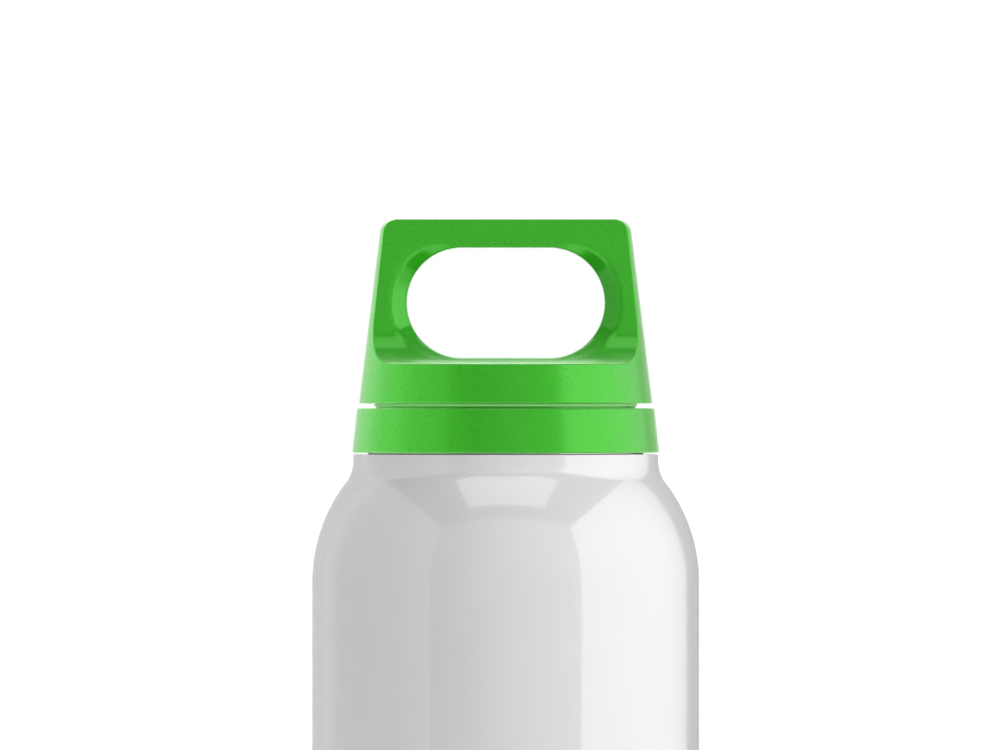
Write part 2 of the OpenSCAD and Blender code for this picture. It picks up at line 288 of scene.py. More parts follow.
foil_low, foil_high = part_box("radiation_foil")
foil_t = 0.15 * mm
foil_finish, tree, shader, place = finish_of("creased_foil", (0.78, 0.74, 0.66), 0.2, Metallic=1.0)
creases = add(tree, "ShaderNodeTexVoronoi", {"Vector": place, "Scale": 220.0},
              feature="DISTANCE_TO_EDGE").outputs[0]
ripples = noise(tree, place, 350.0, 5.0, 0.6)
varied(tree, shader, ripples, (0.66, 0.61, 0.52), (0.84, 0.81, 0.74), (0.14, 0.34))
bumped(tree, shader, [creases, ripples], 0.35 * mm)
foil = turned("foil_wrap", [
    (foil_high.x - foil_t, foil_low.z), (foil_high.x, foil_low.z),
    (foil_high.x, foil_high.z), (foil_high.x - foil_t, foil_high.z)])
stands_for(foil, "radiation_foil", "bottle", foil_finish)


# ---- Outer shell ----
# Drawn steel tube with the shoulder and the neck spun in, then a threaded mouth of smaller diameter.
# Gloss white lacquer covers it down to the base. The lacquer stops at the ledge under the collar.

shell_low, shell_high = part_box("outer_shell")
shell_t = 0.6 * mm
collar_gap = 0.25 * mm
ledge_z = collar_low.z - collar_gap

lacquer, tree, shader, place = finish_of(
    "white_lacquer", (0.78, 0.78, 0.78), 0.22, Coat_Weight=1.0, Coat_Roughness=0.03, Coat_IOR=1.6,
    Specular_IOR_Level=0.6)
flow = noise(tree, place, 260.0, 2.0, 0.4)
pigment = noise(tree, place, 45.0, 4.0, 0.55)
varied(tree, shader, pigment, (0.765, 0.765, 0.768), (0.795, 0.795, 0.792), (0.19, 0.25))
bumped(tree, shader, [flow], 0.0016 * mm, skin="Coat Normal")
dust = noise(tree, place, 6000.0, 2.0)
bumped(tree, shader, [dust], 0.001 * mm)

outer_shell = turned("outer_shell_lacquered", [
    (body_r - shell_t, shell_low.z), (body_r, shell_low.z, 0.15 * mm), *shoulder(0),
    (neck_r, ledge_z, 0.2 * mm), (mouth_r, ledge_z, 0.2 * mm),
    (mouth_r, shell_high.z), (mouth_r - shell_t, shell_high.z),
    (mouth_r - shell_t, ledge_z - shell_t, 0.2 * mm), (neck_r - shell_t, ledge_z - shell_t, 0.1 * mm),
    *reversed(shoulder(shell_t))], sides=288, sag=0.001 * mm)
stands_for(outer_shell, "outer_shell", "bottle", lacquer)

# The mouth's screw thread is rolled in the bare steel: one start, a little over a turn.


def dress(tree, shape, material):
    """Ends a geometry nodes tree: the shape gets its material and goes to the output."""
    dressed = add(tree, "GeometryNodeSetMaterial", {"Geometry": shape, "Material": material}).outputs[0]
    tree.links.new(dressed, tree.nodes.new("NodeGroupOutput").inputs[0])


def thread_tree(root_depth=0.3 * mm, crest_share=0.2, run_out_share=0.06):
    """Winds a right-handed ridge round the axis and lets it run out at both ends.

    Its roots reach root_depth into the wall. Half its crest is crest_share of its foot, and each
    run-out takes run_out_share of its length.
    """
    tree = bpy.data.node_groups.new("screw_thread", "GeometryNodeTree")
    for name, kind, usual in (
            ("Wall radius", "NodeSocketFloat", 0.02), ("Pitch", "NodeSocketFloat", 0.003),
            ("Turns", "NodeSocketFloat", 1.2), ("Start height", "NodeSocketFloat", 0.0),
            ("Ridge depth", "NodeSocketFloat", 0.0004), ("Ridge foot", "NodeSocketFloat", 0.0015),
            ("Inward", "NodeSocketBool", False), ("Material", "NodeSocketMaterial", None)):
        socket = tree.interface.new_socket(name, in_out="INPUT", socket_type=kind)
        if usual is not None:
            socket.default_value = usual
    tree.interface.new_socket("Mesh", in_out="OUTPUT", socket_type="NodeSocketGeometry")
    given = tree.nodes.new("NodeGroupInput").outputs
    rise = calc(tree, "MULTIPLY", given["Pitch"], given["Turns"])
    spiral = add(tree, "GeometryNodeCurveSpiral", {
        "Resolution": 96, "Rotations": given["Turns"], "Start Radius": given["Wall radius"],
        "End Radius": given["Wall radius"], "Height": rise, "Reverse": True}).outputs[0]
    lift = add(tree, "ShaderNodeCombineXYZ", {"Z": given["Start height"]}).outputs[0]
    placed = add(tree, "GeometryNodeTransform", {"Geometry": spiral, "Translation": lift}).outputs[0]
    upright = add(tree, "GeometryNodeSetCurveNormal", {"Curve": placed}, mode="Z_UP").outputs[0]
    side = add(tree, "GeometryNodeSwitch", {
        "Switch": given["Inward"], "False": 1.0, "True": -1.0}, input_type="FLOAT").outputs[0]
    depth = calc(tree, "MULTIPLY", given["Ridge depth"], side)
    sunk = calc(tree, "MULTIPLY", side, -root_depth)
    foot = calc(tree, "MULTIPLY", given["Ridge foot"], 0.5)
    crest = calc(tree, "MULTIPLY", given["Ridge foot"], crest_share)
    corners = []
    for across, out in ((foot, sunk), (foot, None), (crest, depth)):
        minus = calc(tree, "MULTIPLY", across, -1.0)
        for width in (across, minus):
            made = add(tree, "ShaderNodeCombineXYZ", {"Y": width})
            if out is not None:
                tree.links.new(out, made.inputs["X"])
            corners.append(made.outputs[0])
    section = add(tree, "GeometryNodeCurvePrimitiveQuadrilateral", {
        "Point 1": corners[0], "Point 2": corners[4], "Point 3": corners[5], "Point 4": corners[1]},
        mode="POINTS")
    soft = add(tree, "GeometryNodeFilletCurve", {
        "Curve": section.outputs[0], "Count": 3, "Radius": 0.15 * mm}, mode="POLY").outputs[0]
    along = add(tree, "GeometryNodeSplineParameter").outputs["Factor"]
    left = calc(tree, "SUBTRACT", 1.0, along)
    nearest = calc(tree, "MINIMUM", along, left)
    run_out = add(tree, "ShaderNodeMapRange", {"Value": nearest, "From Max": run_out_share, "To Min": 0.02},
                  interpolation_type="SMOOTHSTEP").outputs[0]
    ridge = add(tree, "GeometryNodeCurveToMesh", {
        "Curve": upright, "Profile Curve": soft, "Scale": run_out, "Fill Caps": True}).outputs[0]
    real = add(tree, "GeometryNodeRealizeInstances", {"Geometry": ridge}).outputs[0]
    dress(tree, real, given["Material"])
    return tree


def grown(name, tree, start=None, **inputs):
    """Runs a geometry nodes tree on a mesh, with its inputs by name, and keeps the plain result."""
    seed = bpy.data.objects.new(name + "_seed", start or bpy.data.meshes.new(name + "_seed"))
    bpy.context.collection.objects.link(seed)
    modifier = seed.modifiers.new("grow", "NODES")
    modifier.node_group = tree
    for socket in tree.interface.items_tree:
        key = socket.name.replace(" ", "_").lower()
        if socket.in_out == "INPUT" and key in inputs:
            modifier[socket.identifier] = inputs[key]
    seed.data.update()
    bpy.context.view_layer.update()
    view = bpy.context.evaluated_depsgraph_get()
    mesh = bpy.data.meshes.new_from_object(seed.evaluated_get(view), depsgraph=view)
    mesh.name = name
    bpy.data.objects.remove(seed)
    piece = bpy.data.objects.new(name, mesh)
    bpy.context.collection.objects.link(piece)
    return piece


def outward(mesh, crease=radians(35)):
    """Turns a closed mesh's faces outwards and shades it smooth, but sharp where it creases."""
    work = bmesh.new()
    work.from_mesh(mesh)
    bmesh.ops.remove_doubles(work, verts=work.verts, dist=1e-7)
    bmesh.ops.recalc_face_normals(work, faces=work.faces)
    work.to_mesh(mesh)
    work.free()
    mesh.shade_smooth()
    mesh.set_sharp_from_angle(angle=crease)


def wind_thread(name, body, slot, material, **sizes):
    """Makes one thread ridge and lets it ride on the body that carries it."""
    ridge = grown(name, screw_thread, material=material, **sizes)
    outward(ridge.data)
    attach(ridge, body)


screw_thread = thread_tree()
mouth_pitch = 3 * mm
thread_depth = 0.4 * mm
mouth_thread_foot = 1.3 * mm
mouth_steel = brushed_steel("bare_mouth_steel", (0.64, 0.63, 0.61), 0.24, 0.003 * mm)
wind_thread("mouth_thread", "bottle", "inner_steel", mouth_steel,
            wall_radius=mouth_r, pitch=mouth_pitch, turns=1.15, start_height=ledge_z + 1.0 * mm,
            ridge_depth=thread_depth, ridge_foot=mouth_thread_foot)
band_proud, band_sunk = 0.02 * mm, 0.1 * mm
bare_band = turned("bare_mouth_band", [
    (mouth_r - band_sunk, ledge_z + band_proud), (mouth_r + band_proud, ledge_z + band_proud),
    (mouth_r + band_proud, mouth_z - inner_t), (mouth_r - band_sunk, mouth_z - inner_t)])
bare_band.data.materials.append(mouth_steel)
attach(bare_band, "bottle")


# ---- Vacuum base ----
# Pressed steel disc welded into the shell. Air is drawn out through the vent in its raised middle,
# and a bead of solder glass melts over the vent in the furnace to close it.

disc_low, disc_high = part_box("outer_base")
disc_r = disc_high.x
raised_h = 1.6 * mm
disc_z = disc_high.z - raised_h - shell_t
vent_r = 0.75 * mm
raised_r, raised_foot_r = 3 * mm, 5 * mm
raised_corner = 0.8 * mm
vacuum_steel = brushed_steel("furnace_steel", (0.50, 0.47, 0.43), 0.36, 0.003 * mm)
dome_z = disc_high.z - shell_t
outer_base = turned("vacuum_disc", [
    (vent_r, dome_z), (raised_r, dome_z, raised_corner), (raised_foot_r, disc_z, raised_corner),
    (disc_r - shell_t, disc_z, 0.3 * mm), (disc_r - shell_t, disc_low.z), (disc_r, disc_low.z),
    (disc_r, disc_z + shell_t, 0.6 * mm), (raised_foot_r, disc_z + shell_t, raised_corner),
    (raised_r, disc_high.z, raised_corner), (vent_r, disc_high.z)])
stands_for(outer_base, "outer_base", "bottle", vacuum_steel)

bead_low, bead_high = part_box("vacuum_seal_bead")
bead_r, bead_foot = 2.5 * mm, 2 * mm
solder_glass, tree, shader, place = finish_of(
    "solder_glass", (0.035, 0.045, 0.05), 0.12, IOR=1.7, Coat_Weight=0.6)
swirl = noise(tree, place, 700.0, 3.0)
varied(tree, shader, swirl, (0.02, 0.028, 0.032), (0.06, 0.075, 0.08), (0.08, 0.2))
bumped(tree, shader, [swirl], 0.02 * mm)
bead = turned("solder_bead", [
    (0, bead_low.z), (bead_r / 2, bead_low.z, bead_r), (bead_foot, dome_z), (vent_r, dome_z),
    (vent_r, bead_high.z), (0, bead_high.z)], sides=64)
stands_for(bead, "vacuum_seal_bead", "bottle", solder_glass)


# ---- Getter ----
# A pill of zirconium alloy powder, pressed grey and porous, that soaks up the last gas.
# A bent steel strap is spot-welded over it on the vacuum base.

getter_low, getter_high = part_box("getter")
getter_r = (getter_high.x - getter_low.x) / 2
getter_alloy, tree, shader, place = finish_of("getter_powder", (0.12, 0.12, 0.125), 0.75, Metallic=0.4)
powder = noise(tree, place, 5000.0, 4.0, 0.7)
varied(tree, shader, powder, (0.07, 0.07, 0.075), (0.2, 0.2, 0.21), (0.6, 0.9))
bumped(tree, shader, [powder], 0.06 * mm)
getter = turned("getter_pill", [
    (0, getter_low.z), (getter_r, getter_low.z, 0.3 * mm), (getter_r, getter_high.z, 0.3 * mm),
    (0, getter_high.z)], sides=64)
getter.data.transform(Matrix.Translation((getter_high.x - getter_r, 0, 0)))
stands_for(getter, "getter", "bottle", getter_alloy)

clip_steel = brushed_steel("strap_steel", (0.56, 0.55, 0.53), 0.3, 0.004 * mm)
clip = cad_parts["getter_clip"]
clip.data.materials.clear()
clip.data.materials.append(clip_steel)


# ---- Base cover ----
# Drawn steel cover pressed over the bottle's bottom. It is left bare and turned on a lathe, so it
# shows fine rings. It stands on a flat ring and is sunk in the middle, with one pressed step.

cover_low, cover_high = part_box("base_cover")
recess_r, recess_h = 27.6 * mm, 2 * mm
cover_corner = 4 * mm
step_r, step_h, step_run = 17 * mm, 0.35 * mm, 0.5 * mm
skin = shell_t * sqrt(2)
base_steel = brushed_steel("turned_base_steel", (0.60, 0.595, 0.585), 0.27, 0.005 * mm)
cover_r = cover_high.x
seam_z = cover_high.z - 0.12 * mm
base_cover = turned("base_cover_drawn", [
    (0, recess_h - step_h), (step_r, recess_h - step_h, 0.6 * mm), (step_r + step_run, recess_h, 0.6 * mm),
    (recess_r - recess_h, recess_h, 1.2 * mm), (recess_r, cover_low.z, 0.8 * mm),
    (cover_r, cover_low.z, cover_corner), (cover_r, seam_z, 0.1 * mm),
    (cover_r - shell_t, seam_z), (cover_r - shell_t, shell_t, cover_corner - shell_t),
    (recess_r + skin - shell_t, shell_t, 0.4 * mm),
    (recess_r + skin - recess_h - shell_t, recess_h + shell_t, 0.6 * mm), (0, recess_h + shell_t)],
    sides=256)
stands_for(base_cover, "base_cover", "bottle", base_steel)


# ---- Strainer ----
# A steel tea strainer that hangs in the mouth by a turned-out flange. The band under the flange is
# plain, and the wall and the floor are sheet steel with round punched holes in staggered rows.

rim_low, rim_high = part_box("strainer_rim")
basket_low, basket_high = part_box("strainer_basket")
basket_r = basket_high.x
sheet_t = 0.4 * mm
hole_r = 0.8 * mm
hole_columns, hole_rows = 28, 7
strainer_steel = brushed_steel("punched_steel", (0.66, 0.655, 0.64), 0.22, 0.003 * mm)
rim_flange_z = rim_high.z - 0.35 * mm
strainer_rim = turned("strainer_band", [
    (basket_r - sheet_t, rim_low.z), (basket_r, rim_low.z), (basket_r, rim_flange_z, 0.15 * mm),
    (rim_high.x, rim_flange_z, 0.15 * mm), (rim_high.x, rim_high.z, 0.17 * mm),
    (basket_r - sheet_t, rim_high.z, 0.5 * mm)])
stands_for(strainer_rim, "strainer_rim", "strainer", strainer_steel)


def hole_cell(width, height, thickness):
    """One oblong of sheet round one punched hole, with a point at each quarter of its sides."""
    around = 16
    ring = []
    for k in range(around):
        angle = 2 * pi * (k + 2) / around
        ring.append((hole_r * cos(angle), hole_r * sin(angle)))
    quarters = (-0.5, -0.25, 0.0, 0.25)
    border = [(-q * width, 0.5 * height) for q in quarters]
    border += [(-0.5 * width, -q * height) for q in quarters]
    border += [(q * width, -0.5 * height) for q in quarters]
    border += [(0.5 * width, q * height) for q in quarters]
    vertices = [(x, y, z) for z in (thickness, 0) for x, y in ring + border]
    layer = 2 * around
    faces = []
    for k in range(around):
        after = (k + 1) % around
        faces.append((k, after, around + after, around + k))
        faces.append((layer + after, layer + k, layer + around + k, layer + around + after))
        faces.append((after, k, layer + k, layer + after))
    mesh = bpy.data.meshes.new("hole_cell")
    mesh.from_pydata(vertices, [], faces)
    return mesh


def perforated_wall_tree():
    """Lays cells out in staggered rows, bends the sheet into a tube and welds the cells together."""
    tree = bpy.data.node_groups.new("perforated_wall", "GeometryNodeTree")
    tree.interface.new_socket("Cell", in_out="INPUT", socket_type="NodeSocketGeometry")
    for name, kind in (
            ("Columns", "NodeSocketInt"), ("Rows", "NodeSocketInt"), ("Cell width", "NodeSocketFloat"),
            ("Cell height", "NodeSocketFloat"), ("Tube radius", "NodeSocketFloat"),
            ("Bottom", "NodeSocketFloat"), ("Material", "NodeSocketMaterial")):
        tree.interface.new_socket(name, in_out="INPUT", socket_type=kind)
    tree.interface.new_socket("Wall", in_out="OUTPUT", socket_type="NodeSocketGeometry")
    given = tree.nodes.new("NodeGroupInput").outputs
    count = calc(tree, "MULTIPLY", given["Columns"], given["Rows"])
    points = add(tree, "GeometryNodeMeshLine", {"Count": count, "Offset": (0, 0, 0)},
                 mode="OFFSET").outputs[0]
    index = add(tree, "GeometryNodeInputIndex").outputs[0]
    share = calc(tree, "DIVIDE", index, given["Columns"])
    row = calc(tree, "FLOOR", share)
    column = calc(tree, "MODULO", index, given["Columns"])
    odd = calc(tree, "MODULO", row, 2.0)
    shifted = calc(tree, "MULTIPLY_ADD", odd, 0.5, column)
    along = calc(tree, "MULTIPLY", shifted, given["Cell width"])
    middle = calc(tree, "ADD", row, 0.5)
    up = calc(tree, "MULTIPLY", middle, given["Cell height"])
    spot = add(tree, "ShaderNodeCombineXYZ", {"X": along, "Y": up}).outputs[0]
    laid = add(tree, "GeometryNodeSetPosition", {"Geometry": points, "Position": spot}).outputs[0]
    copies = add(tree, "GeometryNodeInstanceOnPoints",
                 {"Points": laid, "Instance": given["Cell"]}).outputs[0]
    sheet = add(tree, "GeometryNodeRealizeInstances", {"Geometry": copies}).outputs[0]
    position = add(tree, "GeometryNodeInputPosition").outputs[0]
    flat = add(tree, "ShaderNodeSeparateXYZ", {0: position}).outputs
    angle = calc(tree, "DIVIDE", flat[0], given["Tube radius"])
    depth = calc(tree, "ADD", flat[2], given["Tube radius"])
    height = calc(tree, "ADD", flat[1], given["Bottom"])
    turn = []
    for function in ("COSINE", "SINE"):
        turn.append(calc(tree, "MULTIPLY", calc(tree, function, angle), depth))
    round_place = add(tree, "ShaderNodeCombineXYZ", {"X": turn[0], "Y": turn[1], "Z": height}).outputs[0]
    bent = add(tree, "GeometryNodeSetPosition", {"Geometry": sheet, "Position": round_place}).outputs[0]
    welded = add(tree, "GeometryNodeMergeByDistance", {"Geometry": bent, "Distance": 0.01 * mm}).outputs[0]
    dress(tree, welded, given["Material"])
    return tree


inside_r = basket_r - sheet_t
cell_width = 2 * pi * inside_r / hole_columns
cell_height = (basket_high.z - basket_low.z) / hole_rows
strainer_wall = grown(
    "strainer_wall", perforated_wall_tree(), hole_cell(cell_width, cell_height, sheet_t),
    columns=hole_columns, rows=hole_rows, cell_width=cell_width, cell_height=cell_height,
    tube_radius=inside_r, bottom=basket_low.z, material=strainer_steel)
outward(strainer_wall.data)
stands_for(strainer_wall, "strainer_basket", "strainer", strainer_steel)

tray_low, tray_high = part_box("strainer_floor")


def punched_floor_tree(ring_pitch, rings, punch_length=2 * mm):
    """Punches rings of holes in the floor, six more in each ring than in the one inside it."""
    tree = bpy.data.node_groups.new("punched_floor", "GeometryNodeTree")
    tree.interface.new_socket("Floor", in_out="INPUT", socket_type="NodeSocketGeometry")
    tree.interface.new_socket("Hole radius", in_out="INPUT", socket_type="NodeSocketFloat")
    tree.interface.new_socket("Level", in_out="INPUT", socket_type="NodeSocketFloat")
    tree.interface.new_socket("Material", in_out="INPUT", socket_type="NodeSocketMaterial")
    tree.interface.new_socket("Punched", in_out="OUTPUT", socket_type="NodeSocketGeometry")
    given = tree.nodes.new("NodeGroupInput").outputs
    places = [add(tree, "GeometryNodeMeshLine", {"Count": 1}).outputs[0]]
    for ring in range(1, rings + 1):
        circle = add(tree, "GeometryNodeMeshCircle", {"Vertices": 6 * ring, "Radius": ring * ring_pitch})
        places.append(circle.outputs[0])
    joined = tree.nodes.new("GeometryNodeJoinGeometry")
    for spots in places:
        tree.links.new(spots, joined.inputs[0])
    lift = add(tree, "ShaderNodeCombineXYZ", {"Z": given["Level"]}).outputs[0]
    placed = add(tree, "GeometryNodeTransform",
                 {"Geometry": joined.outputs[0], "Translation": lift}).outputs[0]
    punch = add(tree, "GeometryNodeMeshCylinder", {
        "Vertices": 16, "Radius": given["Hole radius"], "Depth": punch_length}).outputs[0]
    punches = add(tree, "GeometryNodeInstanceOnPoints", {"Points": placed, "Instance": punch}).outputs[0]
    real = add(tree, "GeometryNodeRealizeInstances", {"Geometry": punches}).outputs[0]
    cut = add(tree, "GeometryNodeMeshBoolean", {"Mesh 1": given["Floor"], "Mesh 2": real},
              operation="DIFFERENCE", solver="EXACT").outputs[0]
    dress(tree, cut, given["Material"])
    return tree


tray_corner = tray_high.z - tray_low.z
tray = turned("strainer_tray", [
    (0, tray_low.z), (basket_r, tray_low.z, tray_corner), (basket_r, tray_high.z),
    (inside_r, tray_high.z), (inside_r, tray_low.z + sheet_t, tray_corner - sheet_t),
    (0, tray_low.z + sheet_t)])
punched_floor = punched_floor_tree(ring_pitch=4.4 * mm, rings=3)
strainer_floor = grown("strainer_floor_punched", punched_floor, tray.data,
                       hole_radius=hole_r, level=tray_low.z, material=strainer_steel)
bpy.data.objects.remove(tray)
outward(strainer_floor.data)
stands_for(strainer_floor, "strainer_floor", "strainer", strainer_steel)


# ---- Mouth gasket ----
# A moulded ring of soft food-grade silicone, milky and a little tacky. The collar presses it onto
# the steel mouth when it is screwed down.

gasket_low, gasket_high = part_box("mouth_gasket")
silicone, tree, shader, place = finish_of(
    "milky_silicone", (0.80, 0.80, 0.78), 0.42,
    Subsurface_Weight=0.35, Subsurface_Scale=0.8 * mm, Sheen_Weight=0.1)
bloom = noise(tree, place, 800.0, 4.0, 0.6)
varied(tree, shader, bloom, (0.74, 0.74, 0.72), (0.84, 0.84, 0.82), (0.36, 0.5))
bumped(tree, shader, [bloom], 0.01 * mm)
gasket_round = 0.45 * (gasket_high.z - gasket_low.z)
gasket = turned("gasket_ring", [
    (basket_r, gasket_low.z, 0.15 * mm), (gasket_high.x, gasket_low.z, gasket_round),
    (gasket_high.x, gasket_high.z, gasket_round), (basket_r, gasket_high.z, 0.15 * mm)])
stands_for(gasket, "mouth_gasket", "gasket", silicone)


# ---- Collar ----
# The green ring under the lid: satin polypropylene moulded over the spout's skirt, tapered a
# little and with lightly broken edges. Its surface has the mould's fine grain.


def moulded_green(name, colour):
    """Polypropylene with a pearly pigment in fine grains and faint clouds, under a moulded satin skin."""
    material, tree, shader, place = finish_of(
        name, colour, 0.3, Metallic=0.24, Specular_IOR_Level=0.4, Specular_Tint=(0.2, 1.0, 0.08, 1.0),
        Sheen_Weight=0.85, Sheen_Roughness=0.45, Sheen_Tint=(0.64, 1.0, 0.54, 1.0),
        Coat_Weight=0.62, Coat_Roughness=0.17, Coat_IOR=1.5)
    grain = noise(tree, place, 2900.0, 2.0, 0.6)
    clouds = noise(tree, place, 160.0, 4.0, 0.6)
    mixed = calc(tree, "MULTIPLY_ADD", clouds, 0.3, grain)
    level = add(tree, "ShaderNodeMapRange", {"Value": mixed, "From Min": 0.4, "From Max": 0.9}).outputs[0]
    varied(tree, shader, level, [0.89 * c for c in colour], [1.11 * c for c in colour], (0.25, 0.35))
    bumped(tree, shader, [grain], 0.003 * mm)
    return material


green_plastic = moulded_green("green_polypropylene", (0.027, 0.435, 0.004))
lip_r = 24 * mm
plate_t = 0.7 * mm
skirt_out_r = 26.9 * mm
edge = 0.32 * mm
collar_taper = 0.9 * mm
collar = turned("collar_ring", [
    (skirt_out_r, collar_low.z, 0.1 * mm), (collar_high.x, collar_low.z, edge),
    (collar_high.x - collar_taper, collar_high.z, edge), (lip_r, collar_high.z, 0.1 * mm),
    (lip_r, collar_high.z - plate_t), (skirt_out_r, collar_high.z - plate_t)],
    sides=288, sag=0.001 * mm)
stands_for(collar, "collar", "collar", green_plastic)


# ---- Drinking spout ----
# The collar's inner moulding: a skirt that screws over the steel mouth, a lip to drink from, and a
# threaded sleeve that ends in the seat for the stopper. A pale, faintly glowing ring round the lip is
# painted light: it stands for the light that gathers in the gap under the lid.

spout_low, spout_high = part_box("drinking_spout")
seat_r, seat_t = 18 * mm, 1.6 * mm
sleeve_r = 20.6 * mm
sleeve_out_r = sleeve_r + 2.1 * mm
skirt_in_r = 26 * mm
flange_t = 1 * mm
flange_z = collar_high.z - plate_t - flange_t
skirt_foot_z = collar_low.z + 0.3 * mm
lip_t = 2.1 * mm
lip_round = 0.49 * lip_t
bead_out_r, bead_h = lip_r + 0.32 * mm, 0.84 * mm
spout_plastic = moulded_green("spout_polypropylene", (0.029, 0.45, 0.005))
spout = turned("spout_moulding", [
    (seat_r, spout_low.z, 0.3 * mm), (sleeve_out_r, spout_low.z, 0.5 * mm),
    (sleeve_out_r, flange_z, 0.6 * mm), (skirt_in_r, flange_z, 0.5 * mm),
    (skirt_in_r, skirt_foot_z, 0.2 * mm), (skirt_out_r, skirt_foot_z),
    (skirt_out_r, flange_z + flange_t), (lip_r, flange_z + flange_t),
    (lip_r, collar_high.z + bead_h, 0.1 * mm), (lip_r, spout_high.z, lip_round),
    (lip_r - lip_t, spout_high.z, lip_round), (lip_r - lip_t, collar_high.z, 0.5 * mm),
    (sleeve_r, collar_high.z, 0.3 * mm), (sleeve_r, spout_low.z + seat_t, 0.2 * mm),
    (seat_r, spout_low.z + seat_t, 0.4 * mm)], sides=256)
stands_for(spout, "drinking_spout", "collar", spout_plastic)

# Painted light: this ring's pale colour and its faint emission paint the glow in the gap under the lid,
# though it is no lamp.
glow_colour = (0.42, 0.78, 0.34)
painted_glow_finish, tree, shader, place = finish_of(
    "soft_green_ring", glow_colour, 0.35, Specular_IOR_Level=0.5, Sheen_Weight=0.3,
    Emission_Color=(0.35, 1.0, 0.25, 1.0), Emission_Strength=0.3)
clouds = noise(tree, place, 700.0, 4.0, 0.6)
varied(tree, shader, clouds, [0.9 * c for c in glow_colour], [1.08 * c for c in glow_colour],
       (0.28, 0.42))
bumped(tree, shader, [noise(tree, place, 3000.0, 3.0, 0.6)], 0.006 * mm)
ring_in_r = lip_r - 0.3 * mm
ring_low_z, ring_high_z = collar_high.z + 0.4 * mm, collar_high.z + bead_h
lip_ring = turned("lip_ring", [
    (ring_in_r, ring_low_z), (bead_out_r, ring_low_z, 0.1 * mm), (bead_out_r, ring_high_z, 0.12 * mm),
    (ring_in_r, ring_high_z)], sides=256)
stands_for(lip_ring, "drinking_spout", "collar", painted_glow_finish)
wind_thread("skirt_thread", "collar", "spout_plastic", spout_plastic,
            wall_radius=skirt_in_r, pitch=mouth_pitch, turns=1.0, start_height=ledge_z + 2.5 * mm,
            ridge_depth=thread_depth, ridge_foot=mouth_thread_foot, inward=True)
sleeve_pitch = 4 * mm
sleeve_thread_foot = 1.6 * mm
thread_z = spout_low.z + 6 * mm
wind_thread("sleeve_thread", "collar", "spout_plastic", spout_plastic,
            wall_radius=sleeve_r, pitch=sleeve_pitch, turns=1.3, start_height=thread_z + sleeve_pitch / 2,
            ridge_depth=thread_depth, ridge_foot=sleeve_thread_foot, inward=True)


# ---- Stopper ----
# A dark plug welded under the lid and filled with foam, so that the lid keeps heat in. It screws
# into the sleeve, and a silicone ring held by its end cap closes on the sleeve's seat.

plug_low, plug_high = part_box("stopper")
plug_t = 1.6 * mm
plug_r = 20 * mm
stopper_plastic, tree, shader, place = finish_of(
    "dark_polypropylene", (0.045, 0.047, 0.05), 0.38, Sheen_Weight=0.06)
grain = noise(tree, place, 3000.0, 3.0, 0.6)
varied(tree, shader, grain, (0.036, 0.038, 0.04), (0.058, 0.06, 0.064), (0.32, 0.46))
bumped(tree, shader, [grain], 0.008 * mm)
plug_flange_z = plug_high.z - 0.6 * mm
stopper = turned("stopper_plug", [
    (plug_r - plug_t, plug_low.z), (plug_r, plug_low.z, 0.4 * mm), (plug_r, plug_flange_z, 0.3 * mm),
    (plug_high.x, plug_flange_z, 0.1 * mm), (plug_high.x, plug_high.z), (plug_r - plug_t, plug_high.z)])
stands_for(stopper, "stopper", "lid", stopper_plastic)
wind_thread("stopper_thread", "lid", "stopper_plastic", stopper_plastic,
            wall_radius=plug_r, pitch=sleeve_pitch, turns=1.25, start_height=thread_z,
            ridge_depth=thread_depth, ridge_foot=sleeve_thread_foot)

foam_low, foam_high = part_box("stopper_foam")
foam_cells, tree, shader, place = finish_of("rigid_foam", (0.80, 0.74, 0.58), 0.9, Sheen_Weight=0.1)
cells = add(tree, "ShaderNodeTexVoronoi", {"Vector": place, "Scale": 1600.0},
            feature="DISTANCE_TO_EDGE").outputs[0]
varied(tree, shader, cells, (0.66, 0.58, 0.42), (0.86, 0.80, 0.66), (0.95, 0.8))
bumped(tree, shader, [cells], 0.25 * mm)
foam = turned("foam_core", [
    (0, foam_low.z), (foam_high.x, foam_low.z, 0.4 * mm), (foam_high.x, foam_high.z, 0.4 * mm),
    (0, foam_high.z)], sides=96)
stands_for(foam, "stopper_foam", "lid", foam_cells)

cap_low, cap_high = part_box("stopper_end_cap")
seal_low, seal_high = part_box("stopper_seal")
cap_neck_r, cap_lip_r = seat_r - 1 * mm, seat_r - 0.4 * mm
cap_lip_z = seal_low.z - 0.6 * mm
cap_bore_r = cap_neck_r - 0.5 * mm
cap_floor_z = cap_low.z + 1.5 * mm
end_cap = turned("plug_end_cap", [
    (0, cap_low.z), (cap_lip_r, cap_low.z, 0.6 * mm), (cap_lip_r, cap_lip_z, 0.3 * mm),
    (cap_neck_r, cap_lip_z), (cap_neck_r, plug_low.z), (plug_r - plug_t, plug_low.z),
    (plug_r - plug_t, cap_high.z), (cap_bore_r, cap_high.z), (cap_bore_r, cap_floor_z, 0.5 * mm),
    (0, cap_floor_z)])
stands_for(end_cap, "stopper_end_cap", "lid", stopper_plastic)

seal_in_r = cap_neck_r + 0.05 * mm
seal_ring = turned("stopper_seal_ring", [
    (seal_in_r, seal_low.z, 0.2 * mm), (seal_high.x, seal_low.z, 0.5 * mm),
    (seal_high.x, seal_high.z, 0.3 * mm), (seal_in_r, seal_high.z, 0.2 * mm)])
stands_for(seal_ring, "stopper_seal", "seal", silicone)


# ---- Lid ----
# One green moulding: a tapered cone, scooped away front and back to leave a flat carry loop over a
# round skirt. Each scoop curves out into a ledge. The window for two fingers opens out in a sloped
# flare at each end, and every edge is softened.

